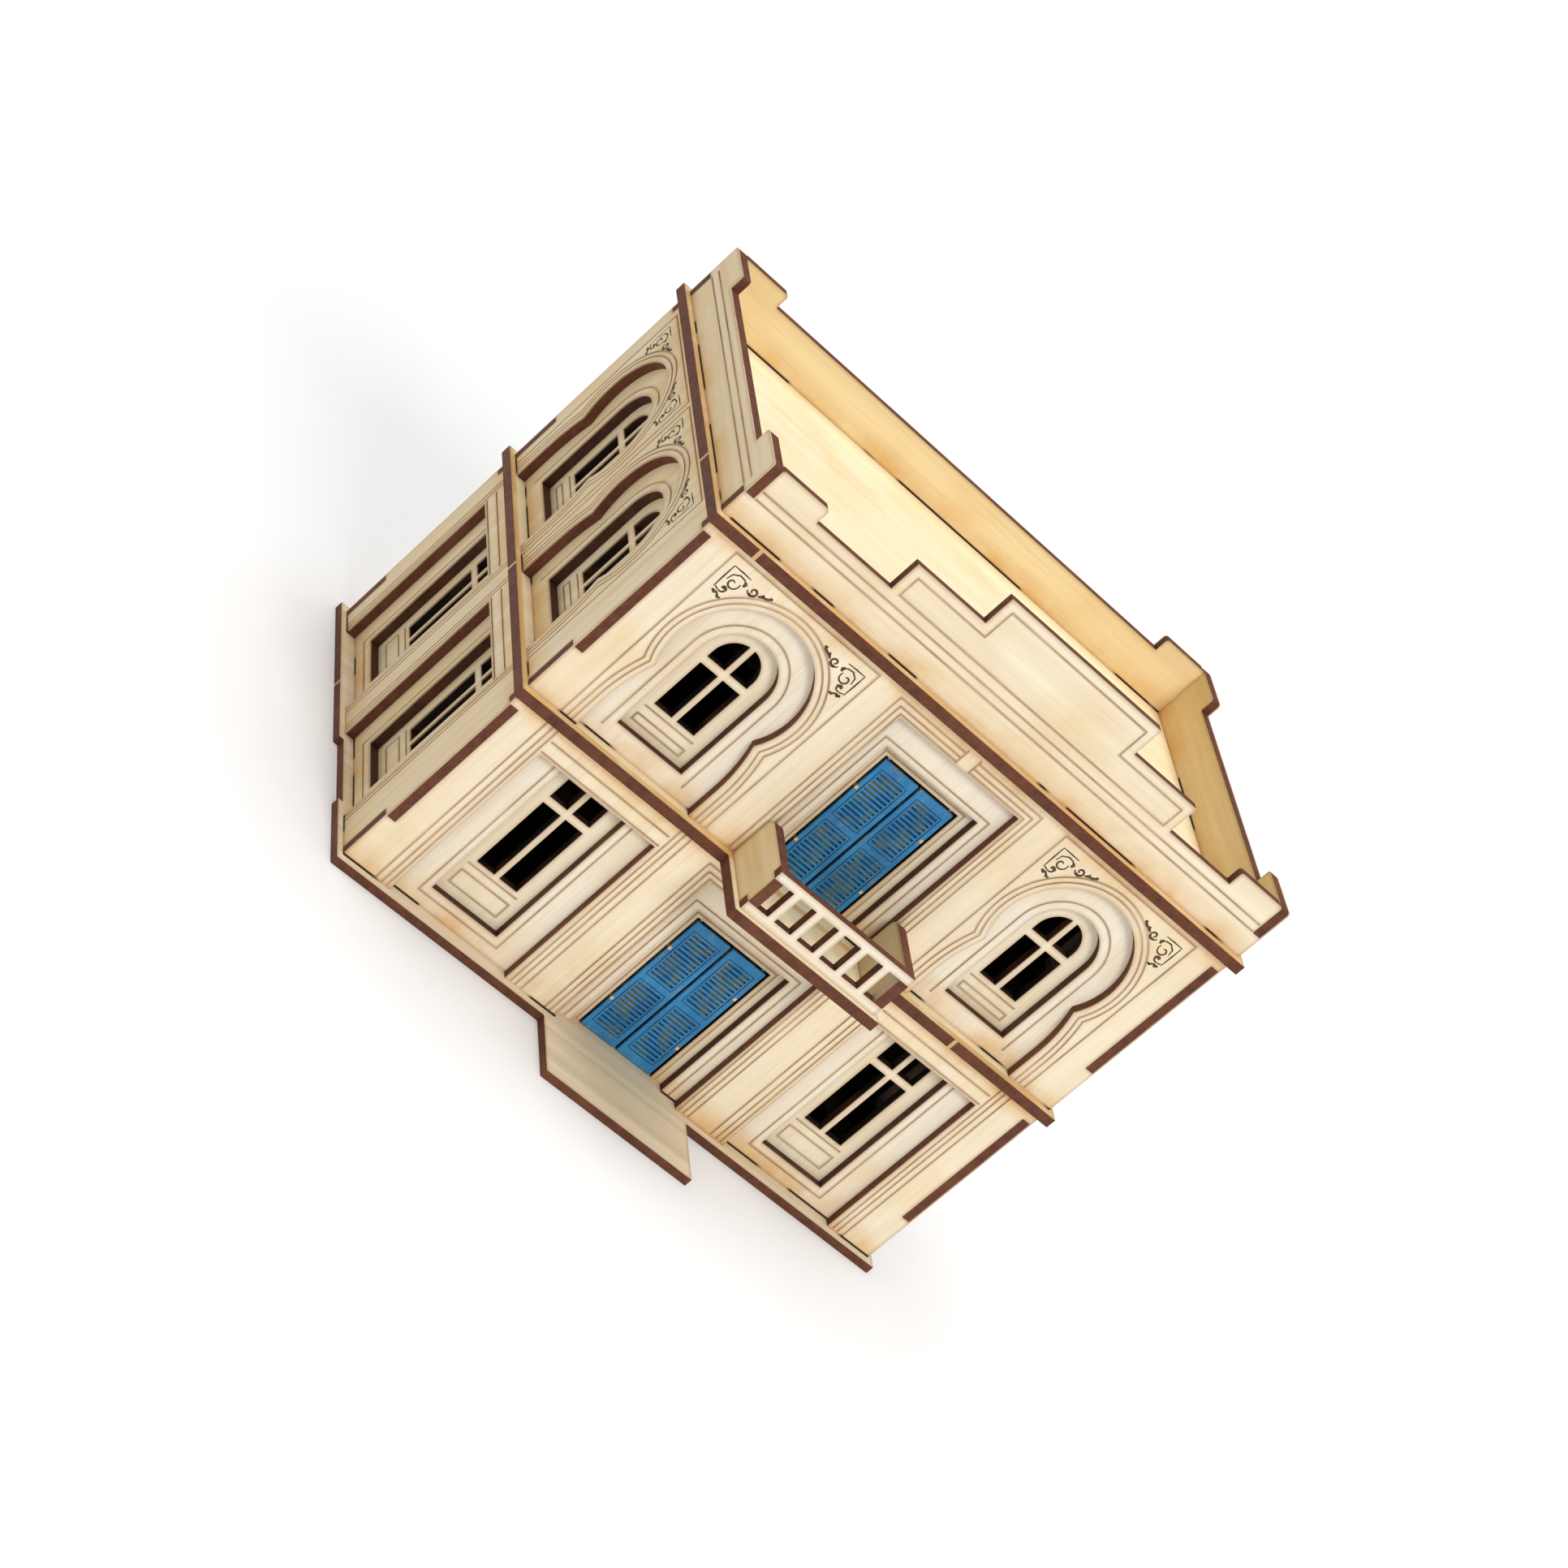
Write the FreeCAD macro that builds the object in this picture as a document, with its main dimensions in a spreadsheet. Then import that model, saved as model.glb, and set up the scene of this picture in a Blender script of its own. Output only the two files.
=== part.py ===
"""Two-storey laser-cut plywood dollhouse, built from named sheet parts.

Every part is a flat piece of sheet (or a short wire pin).  Sizes live in one
spreadsheet; the outlines below are worked out from those values.
Units are millimetres.  X runs along the facade, the facade faces -Y, Z is up.
"""
import FreeCAD
import Part
import math
import os

from FreeCAD import Placement, Rotation, Vector

os.makedirs("parts", exist_ok=True)
doc = FreeCAD.newDocument("dollhouse")

# ---------------------------------------------------------------- sizes
SIZES = {
    # sheets
    "sheet": 3.0,
    "base_sheet": 2.4,
    "engrave_depth": 0.3,
    "engrave_width": 0.45,
    # whole house
    "slab_width": 190.0,
    "slab_depth": 125.0,
    "overhang_front": 2.8,
    "overhang_side": 1.8,
    "wall_height": 62.0,
    # corner fingers, measured up from the foot and down from the head of a wall
    "finger_foot": 15.4,
    "finger_head": 3.4,
    # porch and balcony
    "porch_half_width": 25.2,
    "porch_depth": 23.4,
    "notch_front": 26.5,
    "notch_back": 56.0,
    "notch_deep": 1.5,
    "rail_height": 14.2,
    "rail_inset": 1.7,
    "rail_bottom": 2.8,
    "rail_top": 2.4,
    "baluster_width": 2.2,
    "baluster_count": 5,
    "rail_corner": 2.5,
    # window positions
    "front_window_x": 58.3,
    "side_window_y": 25.8,
    "side_window_shift": -3.1,
    # window openings; a size ending in _head is measured down from the head
    # of the wall, the others up from its foot
    "outer_half": 19.6,
    "middle_half": 11.0,
    "sill": 6.1,
    "pane_half": 6.8,
    "mullion": 1.6,
    "transom": 2.2,
    "ground_outer_head": 8.8,
    "ground_middle_head": 8.8,
    "ground_pane_bottom": 17.8,
    "ground_pane_head": 11.6,
    "ground_transom_head": 20.6,
    "upper_pane_bottom": 14.8,
    "upper_transom_head": 31.3,
    "upper_pane_spring_head": 27.0,
    "upper_middle_spring_head": 27.3,
    "keyhole_radius": 19.4,
    "keyhole_centre_head": 27.2,
    "keyhole_pinch_drop": 9.8,
    "keyhole_foot": 10.0,
    "keyhole_flare": 19.2,
    # apron panels below the panes
    "apron_half": 8.2,
    "ground_apron_low": 8.8,
    "ground_apron_high": 14.0,
    "ground_ledge": 16.1,
    "upper_apron_low": 8.0,
    "upper_apron_high": 10.6,
    "upper_ledge": 12.9,
    # doors
    "door_outer_half": 21.4,
    "door_outer_head": 7.0,
    "door_middle_half": 16.4,
    "door_middle_head": 15.8,
    "door_half": 13.0,
    "door_head": 18.8,
    "leaf_gap": 0.9,
    "leaf_floor_gap": 0.4,
    "pin_radius": 0.5,
    "pin_clearance": 0.05,
    "pin_edge": 1.0,
    "pin_in_leaf": 4.0,
    "pin_reach": 1.8,
    "pin_end_clearance": 0.2,
    "louvre_margin": 2.0,
    "louvre_rail": 3.2,
    "louvre_count": 12,
    "louvre_slot": 0.75,
    "louvre_deep": 0.9,
    # roof parapets, measured up from the roof slab
    "parapet_low": 13.0,
    "parapet_merlon": 17.5,
    "parapet_finger": 7.5,
    "gable_step": 22.0,
    "gable_top": 31.0,
    "merlon_front": 18.5,
    "merlon_side": 17.5,
    "gable_step_half": 50.4,
    "gable_top_half": 27.0,
    "gable_shift": 1.4,
    "gable_line_inset": 2.4,
    "merlon_corner": 0.9,
    # engraved mouldings; each is the distance of a line from its opening
    "line_end_margin": 0.6,
    "apron_line_drop": 2.6,
    "middle_line_offset": 2.4,
    "middle_line_rise": 2.2,
    "lintel_overrun": 0.4,
    "storey_frame_half": 24.8,
    "storey_frame_head": 2.0,
    "keystone_half": 2.6,
    "keystone_rise": 5.0,
    "keystone_drop": 0.4,
    "keystone_gap": 0.1,
    "door_middle_line": 2.4,
    "door_middle_line_rise": 2.0,
    "door_inner_line": 1.4,
    "parapet_line_gap": 2.5,
    "parapet_line_end": 0.4,
    # plates that locate the lift-off storeys
    "locator_sheet": 3.0,
    "locator_clearance": 0.4,
}

sheet = doc.addObject("Spreadsheet::Sheet", "Sizes")
for row, (key, number) in enumerate(SIZES.items(), start=1):
    sheet.set(f"A{row}", key)
    sheet.set(f"B{row}", str(number))
    sheet.setAlias(f"B{row}", key)
doc.recompute()


def size(key):
    """Value of one named size."""
    return float(sheet.get(key))


# lines beside a ground-floor window, above it, round an arched window, and
# the steps of a door frame as (sideways, upwards)
PILASTER_LINES = {"long": (1.4, 3.0, 5.0), "short": (1.4, 3.0)}
LINTEL_LINES = (0.6, 4.2)
KEYHOLE_LINES = (1.6, 3.2)
DOOR_STEP_LINES = ((1.0, 1.0), (2.6, 2.5), (4.3, 4.3))

T = size("sheet")
HALF_X = size("slab_width") / 2
HALF_Y = size("slab_depth") / 2
WALL_X = HALF_X - size("overhang_side")
WALL_Y = HALF_Y - size("overhang_front")
WALL_H = size("wall_height")
HOUSE_Y = size("porch_depth") / 2
GROUND_Z = size("base_sheet")
UPPER_Z = GROUND_Z + WALL_H + T
ROOF_Z = UPPER_Z + WALL_H + T
LINE = size("engrave_width")
MARGIN = size("line_end_margin")


def from_head(key):
    """Height above the foot of a wall, for a size measured from its head."""
    return WALL_H - size(key + "_head")


# ---------------------------------------------------------------- outlines
def point(x, y):
    return Vector(x, y, 0)


def line(a, b):
    return Part.LineSegment(point(*a), point(*b))


def polygon(points):
    """Closed outline through the points."""
    return [line(a, b) for a, b in zip(points, points[1:] + points[:1])]


def rectangle(x0, y0, x1, y1):
    return polygon([(x0, y0), (x1, y0), (x1, y1), (x0, y1)])


def rounded_polygon(corners):
    """Closed outline through (x, y, radius) corners; a rounded one is square."""
    ends = []
    arcs = []
    for index, (x, y, radius) in enumerate(corners):
        corner = point(x, y)
        before = (point(*corners[index - 1][:2]) - corner).normalize()
        after = (point(*corners[(index + 1) % len(corners)][:2]) - corner).normalize()
        start, end = corner + before * radius, corner + after * radius
        ends.append((start, end))
        if radius > 0:
            reach = radius * (1 - math.sqrt(0.5))
            arcs.append(Part.Arc(start, corner + (before + after) * reach, end))
    sides = [Part.LineSegment(end, ends[(index + 1) % len(ends)][0])
             for index, (_, end) in enumerate(ends)]
    return sides + arcs


def arc(centre, radius, start, end):
    """Arc turning anticlockwise from start to end, both in radians."""
    circle = Part.Circle(point(*centre), Vector(0, 0, 1), radius)
    return Part.ArcOfCircle(circle, start, end)


def arched(x, half, low, spring):
    """Straight jambs under a half-round head."""
    return [
        line((x - half, low), (x + half, low)),
        line((x + half, low), (x + half, spring)),
        arc((x, spring), half, 0, math.pi),
        line((x - half, spring), (x - half, low)),
    ]


def quarter_pane(x, side, low, spring, inner, half):
    """Half of an arched light, on one side of the mullion."""
    rise = math.sqrt(half ** 2 - inner ** 2)
    turn = math.acos(inner / half)
    corner = (x + side * inner, spring + rise)
    start, end = (0, turn) if side > 0 else (math.pi - turn, math.pi)
    return [
        line((x + side * inner, low), (x + side * half, low)),
        line((x + side * half, low), (x + side * half, spring)),
        arc((x, spring), half, start, end),
        line(corner, (x + side * inner, low)),
    ]


def keyhole_path(x, offset, foot):
    """Open keyhole contour from the left foot over the arch to the right foot.

    The flare below the pinch is an arc that ends upright at keyhole_foot.
    Returns the edges with the two end points.
    """
    radius = size("keyhole_radius") + offset
    centre = from_head("keyhole_centre")
    flare = size("keyhole_flare")
    low = size("keyhole_foot")
    pinch = centre - size("keyhole_pinch_drop")
    base_radius = size("keyhole_radius")
    waist = math.sqrt(base_radius ** 2 - (centre - pinch) ** 2)
    # arc through the waist, upright at (flare, low)
    rise = pinch - low
    flare_radius = (rise ** 2 + (flare - waist) ** 2) / (2 * (flare - waist))
    flare_centre = flare - flare_radius
    outer = flare_radius + offset
    # crossing of the two offset circles, right-hand side
    dx = -flare_centre
    dy = centre - low
    gap = math.hypot(dx, dy)
    along = (outer ** 2 - radius ** 2 + gap ** 2) / (2 * gap)
    side = math.sqrt(outer ** 2 - along ** 2)
    ux, uy = dx / gap, dy / gap
    cross_x = flare_centre + along * ux + side * uy
    cross_y = low + along * uy - side * ux
    a_top = math.atan2(cross_y - centre, cross_x)
    a_flare = math.atan2(cross_y - low, cross_x - flare_centre)
    right = flare + offset
    edges = [
        line((x - right, foot), (x - right, low)),
        arc((x - flare_centre, low), outer, math.pi - a_flare, math.pi),
        arc((x, centre), radius, a_top, math.pi - a_top),
        arc((x + flare_centre, low), outer, 0, a_flare),
        line((x + right, low), (x + right, foot)),
    ]
    return edges, (x - right, foot), (x + right, foot)


def keyhole_band(x, offset, width, foot):
    """Thin closed band that follows the keyhole contour."""
    inner, inner_left, inner_right = keyhole_path(x, offset, foot)
    outer, outer_left, outer_right = keyhole_path(x, offset + width, foot)
    return inner + outer + [line(inner_left, outer_left), line(inner_right, outer_right)]


def arch_band(x, half, low, spring, width):
    """Thin closed band round an arched opening."""
    wide = half + width
    return [
        line((x - half, low), (x - half, spring)),
        arc((x, spring), half, 0, math.pi),
        line((x + half, spring), (x + half, low)),
        line((x + half, low), (x + wide, low)),
        line((x + wide, low), (x + wide, spring)),
        arc((x, spring), wide, 0, math.pi),
        line((x - wide, spring), (x - wide, low)),
        line((x - wide, low), (x - half, low)),
    ]


def frame_loops(x0, y0, x1, y1, width):
    """Closed frame line: outer and inner rectangle."""
    return [
        rectangle(x0, y0, x1, y1),
        rectangle(x0 + width, y0 + width, x1 - width, y1 - width),
    ]


def portal(x, half, foot, top, width):
    """Frame line open at the foot, like the moulding round a doorway."""
    return polygon([
        (x - half, foot), (x - half, top), (x + half, top), (x + half, foot),
        (x + half - width, foot), (x + half - width, top - width),
        (x - half + width, top - width), (x - half + width, foot),
    ])


# ---------------------------------------------------------------- bodies
def origin_plane(body, role):
    return next(f for f in body.Origin.OriginFeatures if f.Role == role)


def add_sketch(body, name, role, loops, lift=0.0):
    sketch = body.newObject("Sketcher::SketchObject", name)
    sketch.AttachmentSupport = (origin_plane(body, role), [""])
    sketch.MapMode = "FlatFace"
    sketch.AttachmentOffset = Placement(Vector(0, 0, lift), Rotation())
    for loop in loops:
        for edge in loop:
            sketch.addGeometry(edge, False)
    sketch.Visibility = False
    return sketch


def cut(body, name, role, loops, length, lift=0.0, flip=False):
    """Pocket that must remove material."""
    before = body.Shape.Volume
    profile = add_sketch(body, name + "_sketch", role, loops, lift)
    pocket = body.newObject("PartDesign::Pocket", name)
    pocket.Profile = profile
    pocket.Length = length
    pocket.Reversed = flip
    doc.recompute()
    if body.Shape.Volume >= before - 1e-6:
        raise ValueError(f"{name} removed nothing")
    return pocket


def plate(label, loops, thickness="sheet", engraving=(), place=None):
    """One sheet part: outline with openings, engraved lines on its face."""
    body = doc.addObject("PartDesign::Body", label)
    body.Label = label
    doc.recompute()
    profile = add_sketch(body, label + "_outline", "XY_Plane", loops)
    pad = body.newObject("PartDesign::Pad", label + "_pad")
    pad.Profile = profile
    pad.setExpression("Length", f"Sizes.{thickness}")
    doc.recompute()
    if engraving:
        top = size(thickness)
        cut(body, label + "_engraving", "XY_Plane", engraving, size("engrave_depth"), top)
    if place is not None:
        body.Placement = place
    PARTS.append(body)
    return body


PARTS = []
UPRIGHT = Rotation(Vector(1, 0, 0), 90)
TURN = {"front": 0, "right": 90, "back": 180, "left": 270}


def stand(side, distance, height):
    """Placement of an upright plate whose back face is at a distance from
    the middle of the house, looking out over the given side."""
    turn = Rotation(Vector(0, 0, 1), TURN[side])
    base = turn.multVec(Vector(0, -distance, 0)) + Vector(0, HOUSE_Y, height)
    return Placement(base, turn * UPRIGHT)


# ---------------------------------------------------------------- floors
def slab_outline(with_notch):
    """Slab with the porch or balcony tongue in the middle of its front."""
    tongue = size("porch_half_width")
    front = -HALF_Y - size("porch_depth")
    points = [
        (-HALF_X, -HALF_Y), (-tongue, -HALF_Y), (-tongue, front),
        (tongue, front), (tongue, -HALF_Y), (HALF_X, -HALF_Y),
        (HALF_X, HALF_Y), (-HALF_X, HALF_Y),
    ]
    if with_notch:
        deep = -HALF_X + size("notch_deep")
        back = -HALF_Y + size("notch_back")
        near = -HALF_Y + size("notch_front")
        points += [(-HALF_X, back), (deep, back), (deep, near), (-HALF_X, near)]
    return polygon(points)


PIVOT_X = size("door_half") - size("leaf_gap") - size("pin_edge")
PIVOT_Y = -WALL_Y + 2.5 * T
HOLE = size("pin_radius") + size("pin_clearance")


def circle(x, y, radius):
    return [Part.Circle(point(x, y), Vector(0, 0, 1), radius)]


def floor_plate(label, height, thickness, outline):
    base = Vector(0, HOUSE_Y, height)
    return plate(label, [outline], thickness, place=Placement(base, Rotation()))


base_plate = floor_plate("base_plate", 0, "base_sheet", slab_outline(True))
mid_slab = floor_plate("mid_floor_slab", UPPER_Z - T, "sheet", slab_outline(False))
roof_rect = rectangle(-HALF_X, -HALF_Y, HALF_X, HALF_Y)
roof_slab = floor_plate("roof_slab", ROOF_Z - T, "sheet", roof_rect)

for body, thickness in ((base_plate, "base_sheet"), (mid_slab, "sheet")):
    holes = [circle(side * PIVOT_X, PIVOT_Y, HOLE) for side in (-1, 1)]
    depth = size("pin_reach") + size("pin_end_clearance")
    cut(body, body.Label + "_pin_holes", "XY_Plane", holes, depth, size(thickness))

locator = rectangle(
    -WALL_X + 3 * T + size("locator_clearance"),
    -WALL_Y + 3 * T + size("locator_clearance"),
    WALL_X - 3 * T - size("locator_clearance"),
    WALL_Y - 3 * T - size("locator_clearance"),
)
LOCATOR_T = size("locator_sheet")
floor_plate("mid_floor_locator", UPPER_Z - T - LOCATOR_T, "locator_sheet", locator)
floor_plate("roof_locator", ROOF_Z - T - LOCATOR_T, "locator_sheet", locator)


# ---------------------------------------------------------------- walls
def skin_outline(half, over_fingers):
    """Outer skin with its corner fingers.

    Front and back skins cover the corner at foot and head; the side skins
    cover it in between.
    """
    low, high = size("finger_foot"), from_head("finger")
    end, mid = (half, half - T) if over_fingers else (half - T, half)
    right = [(end, 0), (end, low), (mid, low), (mid, high), (end, high), (end, WALL_H)]
    left = [(-x, y) for x, y in reversed(right)]
    return polygon(right + left)


def outer_window(storey, x):
    foot = 0.0
    if storey == "ground":
        return rectangle(x - size("outer_half"), foot, x + size("outer_half"),
                         from_head("ground_outer"))
    edges, left, right = keyhole_path(x, 0.0, foot)
    return edges + [line(left, right)]


def middle_window(storey, x):
    half, sill = size("middle_half"), size("sill")
    if storey == "ground":
        return rectangle(x - half, sill, x + half, from_head("ground_middle"))
    return arched(x, half, sill, from_head("upper_middle_spring"))


def panes(storey, x):
    """Four lights round a mullion and a transom."""
    half, bar = size("pane_half"), size("mullion") / 2
    low = size(storey + "_pane_bottom")
    transom = from_head(storey + "_transom")
    above = transom + size("transom")
    loops = []
    for side in (-1, 1):
        near, far = sorted((x + side * bar, x + side * half))
        loops.append(rectangle(near, low, far, transom))
        if storey == "ground":
            loops.append(rectangle(near, above, far, from_head("ground_pane")))
        else:
            spring = from_head("upper_pane_spring")
            loops.append(quarter_pane(x, side, above, spring, bar, half))
    return loops


def outer_lines(storey, x, length):
    """Engraved mouldings on the outer skin round one window."""
    lines = []
    if storey == "ground":
        half = size("outer_half")
        for offset in PILASTER_LINES[length]:
            for side in (-1, 1):
                near = x + side * (half + offset)
                lines.append(rectangle(near - LINE / 2, MARGIN, near + LINE / 2, WALL_H - MARGIN))
        wide = half + size("lintel_overrun")
        for rise in LINTEL_LINES:
            low = from_head("ground_outer") + rise
            lines.append(rectangle(x - wide, low, x + wide, low + LINE))
    else:
        top = from_head("storey_frame")
        lines.append(portal(x, size("storey_frame_half"), MARGIN, top, LINE))
        for offset in KEYHOLE_LINES:
            lines.append(keyhole_band(x, offset, LINE, MARGIN))
    return lines


def middle_lines(storey, x):
    """Engraved line round the opening of the middle layer."""
    reach = size("middle_half") + size("middle_line_offset")
    low = size("sill") - size("apron_line_drop")
    if storey == "ground":
        top = from_head("ground_middle") + size("middle_line_rise")
        return frame_loops(x - reach, low, x + reach, top, LINE)
    spring = from_head("upper_middle_spring")
    return [arch_band(x, reach, low, spring, LINE)]


def inner_lines(storey, x):
    """Apron panel and ledge below the panes."""
    half = size("apron_half")
    low, high = size(storey + "_apron_low"), size(storey + "_apron_high")
    ledge = size(storey + "_ledge")
    loops = frame_loops(x - half, low, x + half, high, LINE)
    loops.append(rectangle(x - half, ledge, x + half, ledge + LINE))
    return loops


def outer_door_lines():
    """Stepped frame and keystone round a doorway."""
    half, top = size("door_outer_half"), from_head("door_outer")
    keystone = size("keystone_half")
    loops = []
    for side in (-1, 1):
        for offset, rise in DOOR_STEP_LINES:
            x_in = side * keystone
            x_out = side * (half + offset)
            edge = x_out - side * LINE
            loops.append(polygon([
                (x_in, top + rise), (x_out, top + rise), (x_out, MARGIN), (edge, MARGIN),
                (edge, top + rise - LINE), (x_in, top + rise - LINE),
            ]))
        outside = keystone - size("keystone_gap")
        near, far = sorted((side * (outside - LINE), side * outside))
        loops.append(rectangle(near, top + size("keystone_drop"), far,
                               top + size("keystone_rise")))
    return loops


WINDOW_X = {
    "front": [-size("front_window_x"), size("front_window_x")],
    "back": [-size("front_window_x"), size("front_window_x")],
    "left": [size("side_window_shift") + s * size("side_window_y") for s in (-1, 1)],
    "right": [s * size("side_window_y") - size("side_window_shift") for s in (-1, 1)],
}
REACH = {"front": WALL_X, "back": WALL_X, "left": WALL_Y, "right": WALL_Y}
DISTANCE = {"front": WALL_Y, "back": WALL_Y, "left": WALL_X, "right": WALL_X}


def wall(storey, side, height):
    """Three glued layers of one wall: outer skin, middle layer, inner layer."""
    long_wall = side in ("front", "back")
    half, distance = REACH[side], DISTANCE[side]
    with_door = side == "front"
    outer = [skin_outline(half, long_wall)]
    outer_cut = []
    shrink = T if long_wall else 2 * T
    middle = [rectangle(-half + shrink, 0, half - shrink, WALL_H)]
    middle_cut = []
    shrink += T
    inner = [rectangle(-half + shrink, 0, half - shrink, WALL_H)]
    inner_cut = []
    for x in WINDOW_X[side]:
        outer.append(outer_window(storey, x))
        middle.append(middle_window(storey, x))
        inner += panes(storey, x)
        outer_cut += outer_lines(storey, x, "long" if long_wall else "short")
        middle_cut += middle_lines(storey, x)
        inner_cut += inner_lines(storey, x)
    if with_door:
        half_open, top = size("door_outer_half"), from_head("door_outer")
        outer.append(rectangle(-half_open, 0, half_open, top))
        outer_cut += outer_door_lines()
        half_open, top = size("door_middle_half"), from_head("door_middle")
        middle.append(rectangle(-half_open, 0, half_open, top))
        middle_cut.append(portal(0, half_open + size("door_middle_line"), MARGIN,
                                 top + size("door_middle_line_rise"), LINE))
        offset = size("door_inner_line")
        half_open, top = size("door_half"), from_head("door")
        inner.append(rectangle(-half_open, 0, half_open, top))
        inner_cut.append(portal(0, half_open + offset, MARGIN, top + offset, LINE))
    name = f"{storey}_{side}_"
    for depth, (layer, loops, lines) in enumerate(
            (("outer", outer, outer_cut), ("middle", middle, middle_cut),
             ("inner", inner, inner_cut)), start=1):
        spot = stand(side, distance - depth * T, height)
        body = plate(name + layer, join_foot(loops), "sheet", lines, spot)
    if with_door:
        holes = [circle(s * PIVOT_X, T / 2, HOLE) for s in (-1, 1)]
        reach = from_head("door") + size("pin_reach") + size("pin_end_clearance")
        cut(body, name + "pin_holes", "XZ_Plane", holes, reach)
    return body


def join_foot(loops):
    """Openings that reach the foot of the sheet become part of its outline."""
    outline, openings = loops[0], loops[1:]
    keep = [o for o in openings if min(e.StartPoint.y for e in o) > 1e-6]
    to_foot = [o for o in openings if min(e.StartPoint.y for e in o) <= 1e-6]
    if not to_foot:
        return loops
    foot = [e for e in outline if abs(e.StartPoint.y) < 1e-9 and abs(e.EndPoint.y) < 1e-9]
    edges = [e for e in outline if e not in foot]
    ends = [p.x for e in foot for p in (e.StartPoint, e.EndPoint)]
    stops = [min(ends), max(ends)]
    for opening in to_foot:
        for e in opening:
            if abs(e.StartPoint.y) < 1e-9 and abs(e.EndPoint.y) < 1e-9:
                stops += [e.StartPoint.x, e.EndPoint.x]
            else:
                edges.append(e)
    stops.sort()
    edges += [line((a, 0), (b, 0)) for a, b in zip(stops[::2], stops[1::2])]
    return [edges] + keep


for storey, height in (("ground", GROUND_Z), ("upper", UPPER_Z)):
    for side in ("front", "back", "left", "right"):
        wall(storey, side, height)


# ---------------------------------------------------------------- doors
LEAF_WIDTH = size("door_half") - 1.5 * size("leaf_gap")
LEAF_HEIGHT = from_head("door") - size("leaf_gap") - size("leaf_floor_gap")


def leaf(label, side, height):
    """Louvred leaf; its own origin is at the pivot line, closed."""
    edge = side * size("pin_edge")
    free = edge - side * LEAF_WIDTH
    left, right = sorted((edge, free))
    margin, rail = size("louvre_margin"), size("louvre_rail")
    panel = (LEAF_HEIGHT - 3 * rail) / 2
    pitch = panel / size("louvre_count")
    slots = []
    for start in (rail, 2 * rail + panel):
        for index in range(int(size("louvre_count"))):
            low = start + index * pitch + (pitch - size("louvre_slot")) / 2
            slots.append(rectangle(left + margin, low, right - margin,
                                   low + size("louvre_slot")))
    spot = stand("front", WALL_Y - 3 * T, height + size("leaf_floor_gap"))
    spot.Base = spot.Base + Vector(side * PIVOT_X, 0, 0)
    body = plate(label, [rectangle(left, 0, right, LEAF_HEIGHT)], place=spot)
    cut(body, label + "_louvres", "XY_Plane", slots, size("louvre_deep"), T)
    bore = [circle(0, T / 2, size("pin_radius"))]
    cut(body, label + "_foot_bore", "XZ_Plane", bore, size("pin_in_leaf"))
    cut(body, label + "_head_bore", "XZ_Plane", bore, size("pin_in_leaf"), -LEAF_HEIGHT, True)
    return body


def pins(label, side, height):
    """Two short wire pins, one in the foot and one in the head of a leaf."""
    foot_out = size("pin_reach")
    length_foot = size("pin_in_leaf") + size("leaf_floor_gap") + foot_out
    length_head = size("pin_in_leaf") + size("leaf_gap") + foot_out
    start_head = from_head("door") + foot_out - length_head
    centre = Vector(side * PIVOT_X, HOUSE_Y + PIVOT_Y, height)
    wires = []
    ends = ((-foot_out, length_foot), (start_head, length_head))
    for number, (start, length) in enumerate(ends):
        wire = doc.addObject("Part::Cylinder", f"{label}_{number}")
        wire.setExpression("Radius", "Sizes.pin_radius")
        wire.Height = length
        wire.Placement = Placement(centre + Vector(0, 0, start), Rotation())
        wires.append(wire)
    group = doc.addObject("Part::Compound", label)
    group.Label = label
    group.Links = wires
    PARTS.append(group)
    return group


for storey, height in (("ground", GROUND_Z), ("upper", UPPER_Z)):
    for hand, side in (("left", -1), ("right", 1)):
        leaf(f"{storey}_door_leaf_{hand}", side, height)
        pins(f"{storey}_door_pins_{hand}", side, height)


# ---------------------------------------------------------------- balcony
RAIL_HALF = size("porch_half_width") - size("rail_inset")
RAIL_FRONT = HALF_Y + size("porch_depth") - size("rail_inset")
RAIL_OPEN_TOP = size("rail_height") - size("rail_top")


def balustrade():
    """Front rail whose end openings run out to the ends of the sheet.

    The side panels plug into those two.
    """
    count = int(size("baluster_count"))
    bar = size("baluster_width")
    low, high = size("rail_bottom"), RAIL_OPEN_TOP
    pitch = (2 * RAIL_HALF) / (count + 1)
    end = RAIL_HALF - pitch + bar / 2
    right = [(RAIL_HALF, 0), (RAIL_HALF, low), (end, low), (end, high),
             (RAIL_HALF, high), (RAIL_HALF, size("rail_height"))]
    loops = [polygon(right + [(-x, y) for x, y in reversed(right)])]
    for index in range(1, count):
        left = -RAIL_HALF + index * pitch + bar / 2
        loops.append(rectangle(left, low, left + pitch - bar, high))
    spot = stand("front", RAIL_FRONT - T, UPPER_Z)
    return plate("balcony_balustrade", loops, place=spot)


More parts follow.
